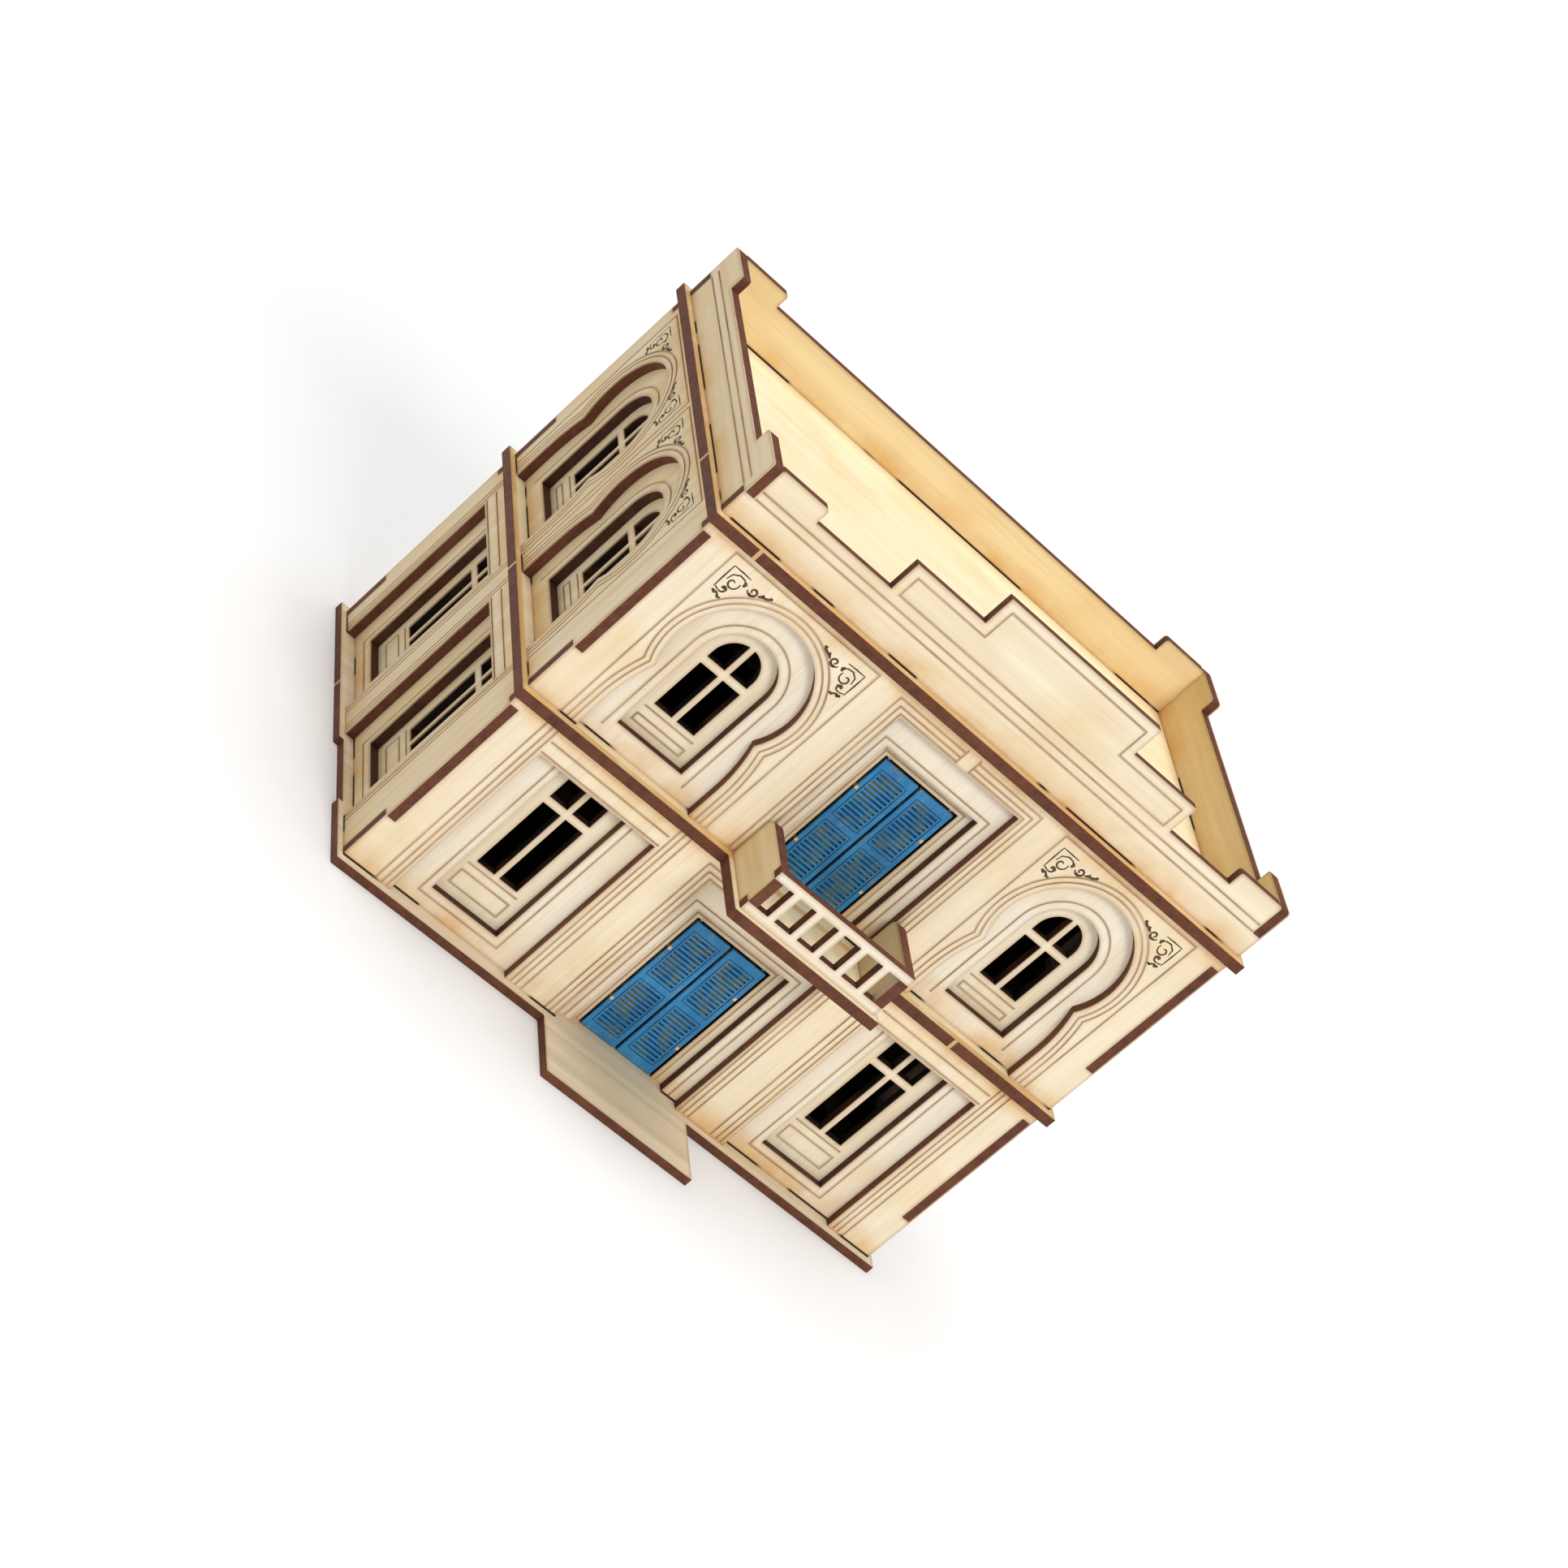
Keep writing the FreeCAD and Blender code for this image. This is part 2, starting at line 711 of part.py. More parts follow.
def side_panel(label, side):
    """Solid balcony end with a finger through the balustrade."""
    length = RAIL_FRONT - WALL_Y
    height, round_off = size("rail_height"), size("rail_corner")
    low, high = size("rail_bottom"), RAIL_OPEN_TOP
    # seen from outside: front end on the right for the left panel
    flip = 1 if side == "left" else -1
    front = length / 2
    back = -length / 2
    body_points = [
        (back, 0), (front - T, 0), (front - T, low), (front, low), (front, high),
        (front - T, high), (front - T, height), (back + round_off, height),
    ]
    edges = [line((flip * ax, ay), (flip * bx, by))
             for (ax, ay), (bx, by) in zip(body_points, body_points[1:])]
    start, end = (math.pi / 2, math.pi) if flip > 0 else (0, math.pi / 2)
    edges.append(arc((flip * (back + round_off), height - round_off), round_off, start, end))
    edges.append(line((flip * back, height - round_off), (flip * back, 0)))
    spot = stand(side, RAIL_HALF - T, UPPER_Z)
    spot.Base = spot.Base + Vector(0, -(WALL_Y + length / 2), 0)
    return plate(label, [edges], place=spot)


balustrade()
side_panel("balcony_side_left", "left")
side_panel("balcony_side_right", "right")


# ---------------------------------------------------------------- parapets
def gable_steps(inset, low):
    """Stepped gable from right to left, drawn in by an inset, down to low."""
    shift = size("gable_shift")
    wide, narrow = size("gable_step_half") - inset, size("gable_top_half") - inset
    step, peak = size("gable_step") - inset, size("gable_top") - inset
    return [
        (shift + wide, low), (shift + wide, step), (shift + narrow, step),
        (shift + narrow, peak), (shift - narrow, peak), (shift - narrow, step),
        (shift - wide, step), (shift - wide, low),
    ]


def parapet_outline(half, merlon, gable, over_fingers):
    """Parapet with its corner merlons; corner fingers as on the walls."""
    finger, low, top = size("parapet_finger"), size("parapet_low"), size("parapet_merlon")
    low_end, high_end = (half, half - T) if over_fingers else (half - T, half)
    soft = size("merlon_corner")
    right = [
        (low_end, 0, 0), (low_end, finger, 0), (high_end, finger, 0), (high_end, top, soft),
        (half - merlon, top, soft), (half - merlon, low, 0),
    ]
    left = [(-x, y, radius) for x, y, radius in reversed(right)]
    middle = [(x, y, 0) for x, y in gable_steps(0.0, low)] if gable else []
    return rounded_polygon(right + middle + left)


def parapet(side):
    long_wall = side in ("front", "back")
    half = REACH[side]
    merlon = size("merlon_front") if long_wall else size("merlon_side")
    outline = parapet_outline(half, merlon, side == "front", long_wall)
    reach = half - T - size("parapet_line_end")
    finger = size("parapet_finger")
    lines = [rectangle(-reach, level, reach, level + LINE)
             for level in (finger, finger + size("parapet_line_gap"))]
    if side == "front":
        inset, low = size("gable_line_inset"), size("parapet_low")
        lines.append(polygon(gable_steps(inset, low)))
        lines.append(polygon(gable_steps(inset + LINE, low + LINE)))
    spot = stand(side, DISTANCE[side] - T, ROOF_Z)
    return plate("parapet_" + side, [outline], engraving=lines, place=spot)


for side in ("front", "back", "left", "right"):
    parapet(side)

# ---------------------------------------------------------------- checks and files
doc.recompute()
for item in doc.Objects:
    if "Invalid" in item.State or "Error" in item.State:
        raise ValueError(f"{item.Label} did not build")
for part in PARTS:
    if part.Shape.isNull() or not part.Shape.isValid():
        raise ValueError(f"{part.Label} has no valid shape")
for part in PARTS:
    part.Shape.exportStep(f"parts/{part.Label}.step")
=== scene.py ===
"""Looks of the plywood dollhouse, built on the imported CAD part.

Lengths are metres in the part's own frame: X along the facade, -Y out of it,
Z up.  Run inside Blender.
"""

import math

import bpy
from mathutils import Matrix, Vector


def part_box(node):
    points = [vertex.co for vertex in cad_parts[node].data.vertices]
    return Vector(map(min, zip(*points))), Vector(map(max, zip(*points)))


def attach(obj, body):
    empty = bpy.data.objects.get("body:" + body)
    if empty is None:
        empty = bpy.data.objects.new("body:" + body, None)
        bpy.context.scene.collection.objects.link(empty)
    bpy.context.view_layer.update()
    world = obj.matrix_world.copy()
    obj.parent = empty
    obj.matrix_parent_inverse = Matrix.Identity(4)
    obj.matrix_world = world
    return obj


MM = 0.001
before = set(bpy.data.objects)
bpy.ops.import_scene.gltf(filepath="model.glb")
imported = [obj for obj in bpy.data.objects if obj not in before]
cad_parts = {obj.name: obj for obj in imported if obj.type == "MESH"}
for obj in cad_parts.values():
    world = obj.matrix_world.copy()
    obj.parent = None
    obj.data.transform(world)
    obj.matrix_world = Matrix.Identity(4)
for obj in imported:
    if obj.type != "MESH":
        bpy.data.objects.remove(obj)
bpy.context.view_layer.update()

# ---------------------------------------------------------------- layout
SHEET = 3.0 * MM
BASE = 2.4 * MM
STOREY = 65.0 * MM
GROUND_Z = BASE
UPPER_Z = BASE + STOREY
ROOF_Z = BASE + 2 * STOREY
HOUSE_Y = 11.7 * MM
WALL_X = 93.2 * MM
WALL_Y = 59.7 * MM
# middles of the windows along each side, in millimetres
WINDOWS = {"front": (-58.3, 58.3), "back": (-58.3, 58.3),
           "left": (-28.9, 22.7), "right": (-22.7, 28.9)}
DISTANCE = {"front": WALL_Y, "back": WALL_Y, "left": WALL_X, "right": WALL_X}
TURN = {"front": 0, "right": 90, "back": 180, "left": 270}
SLAB_X = 95.0 * MM
SLAB_FRONT = HOUSE_Y - 62.5 * MM
LEAF_HINGE_EDGE = 12.1 * MM
LEAF_LIFT = 0.4 * MM
LEAF_FRONT = HOUSE_Y - WALL_Y + 2 * SHEET
# heights above the floor where a leaf keeps an uncut tab, and the half size of the tab
LEAF_TABS = (11.1 * MM, 31.8 * MM)
LEAF_TAB_HALF = (0.9 * MM, 0.55 * MM)
NICK_HALF = 0.6 * MM

# depths under the skin between which a look fades in or out
LINE_STARTS = (0.05 * MM, 0.15 * MM)
LINE_ENDS = (0.8 * MM, 0.6 * MM)
LINE_SIDES = (0.45 * MM, 0.33 * MM)
SLOT_STARTS = (0.2 * MM, 0.7 * MM)
SLOT_ENDS = (1.6 * MM, 1.4 * MM)
LEAF_RIM = (0.95 * MM, 1.05 * MM)
FOOT_GAP = (0.75 * MM, 0.45 * MM)
HALO_REACH = 1.3 * MM
HALO_SAMPLES = 6
# the inside begins behind the three layers of a wall
ROOM_MARGIN = (2.4 * SHEET, 3.0 * SHEET)
# smoke from the laser reaches this far from a joint
SMOKE_FOOT = 9 * MM
SMOKE_HEAD = 6 * MM
SMOKE_PARAPET = 7 * MM
# cells per metre of the patterns: across and along the grain, or the same every way
FIBRE_CELLS = (1400.0, 45.0)
BAND_CELLS = (210.0, 8.0)
CLOUD_CELLS = 34.0
PATCH_CELLS = 60.0
GAP_CELLS = 48.0
CHAR_CELLS = 420.0
SCORCH_CELLS = 70.0
SPECKLE_CELLS = 900.0
# strength and height of the surface relief
WOOD_BUMP = (0.25, 0.12 * MM)
PAINT_BUMP = (0.35, 0.1 * MM)
# every piece of wood starts its patterns at its own seed
SEED_STEP = 2.3


# ---------------------------------------------------------------- shader helpers
def new_material(name):
    material = bpy.data.materials.new(name)
    material.use_nodes = True
    tree = material.node_tree
    for node in list(tree.nodes):
        tree.nodes.remove(node)
    output = tree.nodes.new("ShaderNodeOutputMaterial")
    shader = tree.nodes.new("ShaderNodeBsdfPrincipled")
    tree.links.new(shader.outputs["BSDF"], output.inputs["Surface"])
    return material, tree, shader


def put(tree, socket, value):
    """Link a socket or set a constant."""
    if isinstance(value, bpy.types.NodeSocket):
        tree.links.new(value, socket)
    else:
        socket.default_value = value


def math_node(tree, operation, *values):
    node = tree.nodes.new("ShaderNodeMath")
    node.operation = operation
    for socket, value in zip(node.inputs, values):
        put(tree, socket, value)
    return node.outputs[0]


def times(tree, *values):
    """Product of two or more values."""
    result = values[0]
    for value in values[1:]:
        result = math_node(tree, "MULTIPLY", result, value)
    return result


def near(tree, value, middle, reach):
    """1 within a reach of the middle, 0 beyond it."""
    away = math_node(tree, "ABSOLUTE", math_node(tree, "SUBTRACT", value, middle))
    return ramp(tree, away, reach, 0.8 * reach)


def axes_of(tree, vector):
    split = tree.nodes.new("ShaderNodeSeparateXYZ")
    tree.links.new(vector, split.inputs[0])
    return {axis: split.outputs[axis] for axis in "XYZ"}


def mix_color(tree, factor, a, b, blend="MIX"):
    node = tree.nodes.new("ShaderNodeMix")
    node.data_type = "RGBA"
    node.blend_type = blend
    put(tree, node.inputs["Factor"], factor)
    put(tree, node.inputs["A"], a)
    put(tree, node.inputs["B"], b)
    return node.outputs["Result"]


def ramp(tree, value, low, high):
    """0 at low, 1 at high, straight in between; low may be the larger one."""
    node = tree.nodes.new("ShaderNodeMapRange")
    node.clamp = True
    put(tree, node.inputs["Value"], value)
    node.inputs["From Min"].default_value = low
    node.inputs["From Max"].default_value = high
    return node.outputs["Result"]


def noise(tree, vector, scale, detail=3.0, rough=0.5, seed=0.0):
    """Noise whose cells have the given count per metre along X, Y and Z."""
    mapping = tree.nodes.new("ShaderNodeMapping")
    mapping.inputs["Scale"].default_value = scale
    mapping.inputs["Location"].default_value = (seed, seed * 1.7, seed * 0.6)
    tree.links.new(vector, mapping.inputs["Vector"])
    node = tree.nodes.new("ShaderNodeTexNoise")
    node.inputs["Scale"].default_value = 1.0
    node.inputs["Detail"].default_value = detail
    node.inputs["Roughness"].default_value = rough
    tree.links.new(mapping.outputs["Vector"], node.inputs["Vector"])
    return node.outputs["Fac"]


def even(count):
    """Noise scale with the same count of cells per metre in every direction."""
    return (count, count, count)


def rgb(red, green, blue):
    """Linear colour from display values of 0 to 255."""
    def linear(v):
        v /= 255.0
        return v / 12.92 if v <= 0.04045 else ((v + 0.055) / 1.055) ** 2.4
    return (linear(red), linear(green), linear(blue), 1.0)


def stretched(grain, fine, along):
    """Noise scale with long cells along the grain axis."""
    return tuple(along if axis == grain else fine for axis in "xyz")


CREAM = rgb(243, 228, 198)
CREAM_RECESS = rgb(246, 234, 214)
# darker cream of the side walls: painted shade of faces turned away from the light
CREAM_PAINTED_SHADE = rgb(224, 204, 162)
# darker cream of the balcony's side panels: painted shade
BALCONY_PAINTED_SHADE = rgb(226, 202, 150)
BASE_CREAM = rgb(216, 202, 174)
INNER_TINT = (0.96, 0.90, 0.74, 1.0)
CREAM_DECK = rgb(247, 230, 192)
CREAM_PALE = rgb(246, 234, 214)
CREAM_WARM = rgb(233, 204, 148)
GRAIN_BROWN = rgb(214, 188, 146)
BURNT = rgb(112, 66, 46)
BURNT_DARK = rgb(80, 45, 32)
BURNT_LIGHT = rgb(134, 84, 54)
# near-black edges of the inner wall layer: char with painted shade
JAMB_DARK = rgb(38, 25, 20)
# painted shade of the unlit room inside the house
ROOM_DARK = rgb(52, 38, 28)
ROOM_SHADE_TINT = (0.05, 0.04, 0.035, 1.0)
AMBER = rgb(222, 174, 100)
HALO_BROWN = rgb(158, 108, 66)
LINE_BROWN = rgb(190, 158, 120)
LINE_PALE = rgb(238, 218, 186)
# painted shade in the gaps at the foot of a wall
SLIT_SHADE = rgb(46, 28, 20)
NICK = rgb(232, 196, 138)
BLUE = rgb(52, 138, 194)
BLUE_DEEP = rgb(42, 116, 172)
BLUE_SLOT = rgb(42, 108, 156)
BLUE_PALE = rgb(92, 160, 192)
# near-black sides of the door leaves: char of the cut with painted shade of the gap between them
BLUE_EDGE = rgb(26, 30, 34)
OCHRE = rgb(150, 142, 96)
BOARD_AXIS = {"front": "Y", "back": "Y", "left": "X", "right": "X"}
# colours of the charred cut edges, layer by layer into the wall: the deeper layers are darker with
# painted shade
EDGE_TONE = {"outer": (BURNT, BURNT_DARK), "middle": (rgb(82, 48, 34), rgb(56, 32, 24)),
             "inner": (JAMB_DARK, rgb(24, 17, 14))}


def wood_figure(tree, place, grain, face, seed):
    """Grained colour of a board face, with the fibre pattern that made it."""
    fibre = noise(tree, place, stretched(grain, *FIBRE_CELLS), 4.0, 0.6, seed)
    bands = noise(tree, place, stretched(grain, *BAND_CELLS), 3.0, 0.55, seed + 3)
    cloud = noise(tree, place, even(CLOUD_CELLS), 3.0, 0.5, seed + 5)
    pale = tuple(0.45 * a + 0.55 * min(1.0, 1.14 * b) for a, b in zip(CREAM_PALE, face))
    color = mix_color(tree, ramp(tree, bands, 0.36, 0.66), face, pale)
    warm = times(tree, ramp(tree, cloud, 0.48, 0.78), 0.6)
    color = mix_color(tree, warm, color, CREAM_WARM)
    streak = times(tree, ramp(tree, fibre, 0.48, 0.76), 0.3)
    return mix_color(tree, streak, color, GRAIN_BROWN), fibre


def burn_halo(tree):
    """1 on a face right beside a cut edge, 0 further in than its reach."""
    node = tree.nodes.new("ShaderNodeAmbientOcclusion")
    node.inside = True
    node.only_local = True
    node.samples = HALO_SAMPLES
    node.inputs["Distance"].default_value = HALO_REACH
    return ramp(tree, node.outputs["AO"], 0.92, 0.5)


def joint_smoke(tree, color, height, patch, haze):
    """Amber smoke beside the joints: haze lists (height, reach)."""
    for joint, reach in haze:
        away = math_node(tree, "ABSOLUTE", math_node(tree, "SUBTRACT", height, joint))
        smoke = times(tree, ramp(tree, away, reach, 0.0), ramp(tree, patch, 0.36, 0.66), 0.9)
        color = mix_color(tree, smoke, color, AMBER)
    return color


def rim_smoke(tree, color, axes, patch):
    """Amber strip on the part of a slab that stands out beyond the walls."""
    step_in, step_out = 0.2 * MM, 0.3 * MM
    from_middle = math_node(tree, "ABSOLUTE", axes["X"])
    front_wall = HOUSE_Y - WALL_Y
    beyond = math_node(tree, "MAXIMUM",
                       ramp(tree, from_middle, WALL_X - step_in, WALL_X + step_out),
                       ramp(tree, axes["Y"], front_wall + step_in, front_wall - step_out))
    on_rim = times(tree, beyond, ramp(tree, axes["Y"], SLAB_FRONT - 1.0 * MM, SLAB_FRONT))
    return mix_color(tree, times(tree, on_rim, ramp(tree, patch, 0.25, 0.5), 0.8), color, AMBER)


def engraved_lines(tree, color, halo, flat, depth, patch):
    """Brown lines where the face is cut into a little.

    Gives the colour and the mask of everything that isn't a burnt edge: the
    sides of an engraved line are as pale as its bottom.
    """
    engraved = times(tree, ramp(tree, depth, *LINE_STARTS), ramp(tree, depth, *LINE_ENDS))
    halo = times(tree, halo, math_node(tree, "SUBTRACT", 1.0, engraved))
    color = mix_color(tree, halo, color, HALO_BROWN)
    line = mix_color(tree, ramp(tree, patch, 0.25, 0.7), LINE_PALE, LINE_BROWN)
    color = mix_color(tree, times(tree, engraved, 0.9), color, line)
    skin = ramp(tree, depth, *LINE_SIDES)
    on_side = times(tree, skin, math_node(tree, "SUBTRACT", 1.0, flat))
    color = mix_color(tree, on_side, color, line)
    return color, math_node(tree, "MAXIMUM", flat, times(tree, skin, 0.8))


def foot_gap_shade(tree, color, place, height, foot, seed):
    """Painted shade of gaps here and there along the foot of a wall."""
    along = noise(tree, place, (GAP_CELLS, GAP_CELLS, 0.0), 1.0, 0.5, seed + 14)
    low = ramp(tree, math_node(tree, "SUBTRACT", height, foot), *FOOT_GAP)
    return mix_color(tree, times(tree, low, ramp(tree, along, 0.50, 0.53)), color, SLIT_SHADE)


def cut_edge(tree, place, axes, edges, nicks, seed):
    """Colour of the laser-cut edge: charred brown, darker with painted shade on the deeper wall
    layers, paler at uncut tabs.
    """
    char_grain = noise(tree, place, even(CHAR_CELLS), 4.0, 0.65, seed + 11)
    char_band = noise(tree, place, even(SCORCH_CELLS), 2.0, 0.5, seed + 12)
    edge = mix_color(tree, ramp(tree, char_grain, 0.3, 0.75), *edges)
    scorch = times(tree, ramp(tree, char_band, 0.52, 0.78), 0.45)
    edge = mix_color(tree, scorch, edge, BURNT_LIGHT)
    for axis, spot in nicks:
        tab = times(tree, near(tree, axes[axis], spot, NICK_HALF), 0.75)
        edge = mix_color(tree, tab, edge, NICK)
    return edge


def darken_room(tree, color, axes):
    """Darken a slab between the walls, so that the panes look into an unlit room."""
    from_middle = {"X": math_node(tree, "ABSOLUTE", axes["X"]),
                   "Y": math_node(tree, "ABSOLUTE",
                                  math_node(tree, "SUBTRACT", axes["Y"], HOUSE_Y))}
    walls = {"X": WALL_X, "Y": WALL_Y}
    inside = times(tree, *(ramp(tree, from_middle[axis], *(wall - margin for margin in ROOM_MARGIN))
                           for axis, wall in walls.items()))
    return mix_color(tree, inside, color, ROOM_DARK)


def ply_material(name, board, grain, face=CREAM, edges=EDGE_TONE["outer"], seed=0.0,
                 outer=None, outward=1.0, haze=(), foot=None, back_tint_and_shade=None,
                 dark_room=False, rim_haze=False, nicks=()):
    """Plywood: pale grained faces, burnt cut edges, brown engraved lines.

    board is the axis across the sheet; outer is the place of the engraved face
    on it; haze lists heights with amber laser smoke; foot is the height of the
    joint with painted shade in its gaps; nicks are places of uncut tabs on the
    edges.
    """
    material, tree, shader = new_material(name)
    coords = tree.nodes.new("ShaderNodeTexCoord")
    place = coords.outputs["Object"]
    axes = axes_of(tree, place)
    normal = axes_of(tree, coords.outputs["Normal"])[board]
    flat = ramp(tree, math_node(tree, "ABSOLUTE", normal), 0.6, 0.8)
    color, fibre = wood_figure(tree, place, grain, face, seed)
    patch = noise(tree, place, even(PATCH_CELLS), 4.0, 0.6, seed + 8)

    # back faces are multiplied by a tint: the parapets' own yellower inner side, and painted shade
    # of the unlit room on the inner wall layers
    if back_tint_and_shade is not None:
        behind = ramp(tree, times(tree, normal, -outward), 0.6, 0.8)
        color = mix_color(tree, behind, color, back_tint_and_shade, "MULTIPLY")
    color = joint_smoke(tree, color, axes["Z"], patch, haze)
    if rim_haze:
        color = rim_smoke(tree, color, axes, patch)
    halo = times(tree, burn_halo(tree), 0.5)
    if outer is not None:
        depth = math_node(tree, "SUBTRACT", outer, times(tree, axes[board], outward))
        color, on_face = engraved_lines(tree, color, halo, flat, depth, patch)
    else:
        color = mix_color(tree, halo, color, HALO_BROWN)
        on_face = flat
    if foot is not None:
        color = foot_gap_shade(tree, color, place, axes["Z"], foot, seed)
    color = mix_color(tree, on_face, cut_edge(tree, place, axes, edges, nicks, seed), color)
    if dark_room:
        color = darken_room(tree, color, axes)

    put(tree, shader.inputs["Base Color"], color)
    put(tree, shader.inputs["Roughness"], math_node(tree, "MULTIPLY_ADD", fibre, 0.2, 0.58))
    shader.inputs["Specular IOR Level"].default_value = 0.25
    add_bump(tree, shader, fibre, *WOOD_BUMP)
    return material


def add_bump(tree, shader, height, strength, distance):
    bump = tree.nodes.new("ShaderNodeBump")
    bump.inputs["Strength"].default_value = strength
    bump.inputs["Distance"].default_value = distance
    tree.links.new(height, bump.inputs["Height"])
    tree.links.new(bump.outputs["Normal"], shader.inputs["Normal"])


def blue_material(name, hand, foot):
    """Matt blue paint, thin over the wood, scraped ochre here and there.

    hand is -1 for the left leaf and 1 for the right one; foot is the height of
    the floor under it.
    """
    material, tree, shader = new_material(name)
    coords = tree.nodes.new("ShaderNodeTexCoord")
    place = coords.outputs["Object"]
    axes = axes_of(tree, place)
    normal = axes_of(tree, coords.outputs["Normal"])
    brush = noise(tree, place, (900.0, 900.0, 60.0), 4.0, 0.6)
    cloud = noise(tree, place, (120.0, 120.0, 90.0), 3.0, 0.5, 4.0)
    thin = noise(tree, place, (330.0, 330.0, 260.0), 3.0, 0.6, 9.0)
    color = mix_color(tree, ramp(tree, cloud, 0.35, 0.65), BLUE, BLUE_DEEP)
    color = mix_color(tree, times(tree, ramp(tree, brush, 0.48, 0.78), 0.45), color, BLUE_PALE)
    color = mix_color(tree, times(tree, ramp(tree, thin, 0.58, 0.72), 0.35), color, OCHRE)
    depth = math_node(tree, "SUBTRACT", axes["Y"], LEAF_FRONT)
    # only the louvre slots: the back of the leaf is painted like its front
    sunk = times(tree, ramp(tree, depth, *SLOT_STARTS), ramp(tree, depth, *SLOT_ENDS))
    slot = mix_color(tree, ramp(tree, thin, 0.44, 0.56), BLUE_SLOT, OCHRE)
    color = mix_color(tree, sunk, color, slot)
    # deeper than the paint, the leaves' sides are near black: char with painted shade of the gaps
    sideways, upwards = (ramp(tree, math_node(tree, "ABSOLUTE", normal[axis]), 0.5, 0.8)
                         for axis in "XZ")
    rim = times(tree, math_node(tree, "MAXIMUM", sideways, upwards), ramp(tree, depth, *LEAF_RIM))
    color = mix_color(tree, rim, color, BLUE_EDGE)
    half_width, half_height = LEAF_TAB_HALF
    hinge = near(tree, axes["X"], hand * LEAF_HINGE_EDGE, half_width)
    for height in LEAF_TABS:
        tab = times(tree, hinge, near(tree, axes["Z"], foot + height, half_height))
        color = mix_color(tree, tab, color, NICK)
    put(tree, shader.inputs["Base Color"], color)
    shader.inputs["Roughness"].default_value = 0.6
    shader.inputs["Specular IOR Level"].default_value = 0.3
    add_bump(tree, shader, brush, *PAINT_BUMP)
    return material


def wire_material():
    material, tree, shader = new_material("steel_wire")
    coords = tree.nodes.new("ShaderNodeTexCoord")
    brushed = noise(tree, coords.outputs["Object"], (4000.0, 4000.0, 200.0))
    color = mix_color(tree, brushed, rgb(150, 150, 152), rgb(196, 196, 196))
    put(tree, shader.inputs["Base Color"], color)
    shader.inputs["Metallic"].default_value = 1.0
    shader.inputs["Roughness"].default_value = 0.35
    return material


def stroke_material(name, dark, light):
    """Speckled colour of a burnt or painted line."""
    material, tree, shader = new_material(name)
    coords = tree.nodes.new("ShaderNodeTexCoord")
    speckle = noise(tree, coords.outputs["Object"], even(SPECKLE_CELLS), 3.0, 0.6)
    color = mix_color(tree, ramp(tree, speckle, 0.35, 0.7), dark, light)
    put(tree, shader.inputs["Base Color"], color)
    shader.inputs["Roughness"].default_value = 0.85
    return material


# ---------------------------------------------------------------- CAD parts
def assign(obj, material):
    obj.data.materials.clear()
    obj.data.materials.append(material)
    for polygon in obj.data.polygons:
        polygon.use_smooth = False


def side_of(name):
    return next((side for side in DISTANCE if side in name.split("_")), None)


def foot_of(name):
    return GROUND_Z if name.startswith("ground") else UPPER_Z


def place_of_face(name, side):
    """Coordinate of the engraved face, measured outwards."""
    low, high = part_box(name)
    axis = "XYZ".index(BOARD_AXIS[side])
    outward = -1.0 if side in ("front", "left") else 1.0
    outer = (high[axis] if outward > 0 else low[axis]) * outward
    return outer, outward


def wall_material(name, side, seed):
    """Ply of one wall layer or parapet."""
    outer, outward = place_of_face(name, side)
    board = BOARD_AXIS[side]
    # the side walls and side parapets get the cream with painted shade
    common = {"seed": seed, "outer": outer, "outward": outward,
              "face": CREAM if board == "Y" else CREAM_PAINTED_SHADE}
    if board == "Y" and name.endswith("middle"):
        common["face"] = CREAM_RECESS
    if name.startswith("parapet"):
        grain = "x" if board == "Y" else "y"
        return ply_material(name + "_ply", board, grain, haze=((ROOF_Z, SMOKE_PARAPET),),
                            foot=ROOF_Z, back_tint_and_shade=INNER_TINT, **common)
    layer = name.split("_")[-1]
    foot = foot_of(name)
    haze = ((foot, SMOKE_FOOT), (foot + STOREY - SHEET, SMOKE_HEAD))
    # the inside face of an inner layer gets painted shade of the unlit room
    back = ROOM_SHADE_TINT if layer == "inner" else None
    return ply_material(name + "_ply", board, "z", edges=EDGE_TONE[layer], haze=haze,
                        foot=foot, back_tint_and_shade=back, **common)


# uncut tabs of each slab: the axis that its edge runs along and the place on it
SLAB_NICKS = {
    "base_plate": (("Y", SLAB_FRONT + 84 * MM),),
    "mid_floor_slab": (("X", SLAB_X - 37.5 * MM), ("Y", SLAB_FRONT + 62 * MM)),
    "roof_slab": (("X", -SLAB_X + 15 * MM), ("Y", SLAB_FRONT + 30 * MM)),
}


def slab_material(name, seed):
    """Ply of the base plate, a slab or a locating plate."""
    face = BASE_CREAM if name == "base_plate" else CREAM_DECK
    return ply_material(name + "_ply", "Z", "x", face=face, seed=seed,
                        dark_room=name != "roof_slab", rim_haze=name.endswith("slab"),
                        nicks=SLAB_NICKS.get(name, ()))


def part_material(name, seed):
    side = side_of(name)
    if "leaf" in name:
        return blue_material(name + "_paint", -1 if side == "left" else 1, foot_of(name))
    if name.startswith("balcony_side"):
        # the side panels get a cream with painted shade
        return ply_material(name + "_ply", "X", "y", face=BALCONY_PAINTED_SHADE, seed=seed)
    if name == "balcony_balustrade":
        return ply_material(name + "_ply", "Y", "x", face=CREAM_RECESS, seed=seed)
    if side:
        return wall_material(name, side, seed)
    return slab_material(name, seed)


wire = wire_material()
engraving = stroke_material("engraving", rgb(58, 42, 32), rgb(112, 88, 66))
paint_line = stroke_material("paint_line", rgb(16, 48, 76), rgb(28, 76, 118))

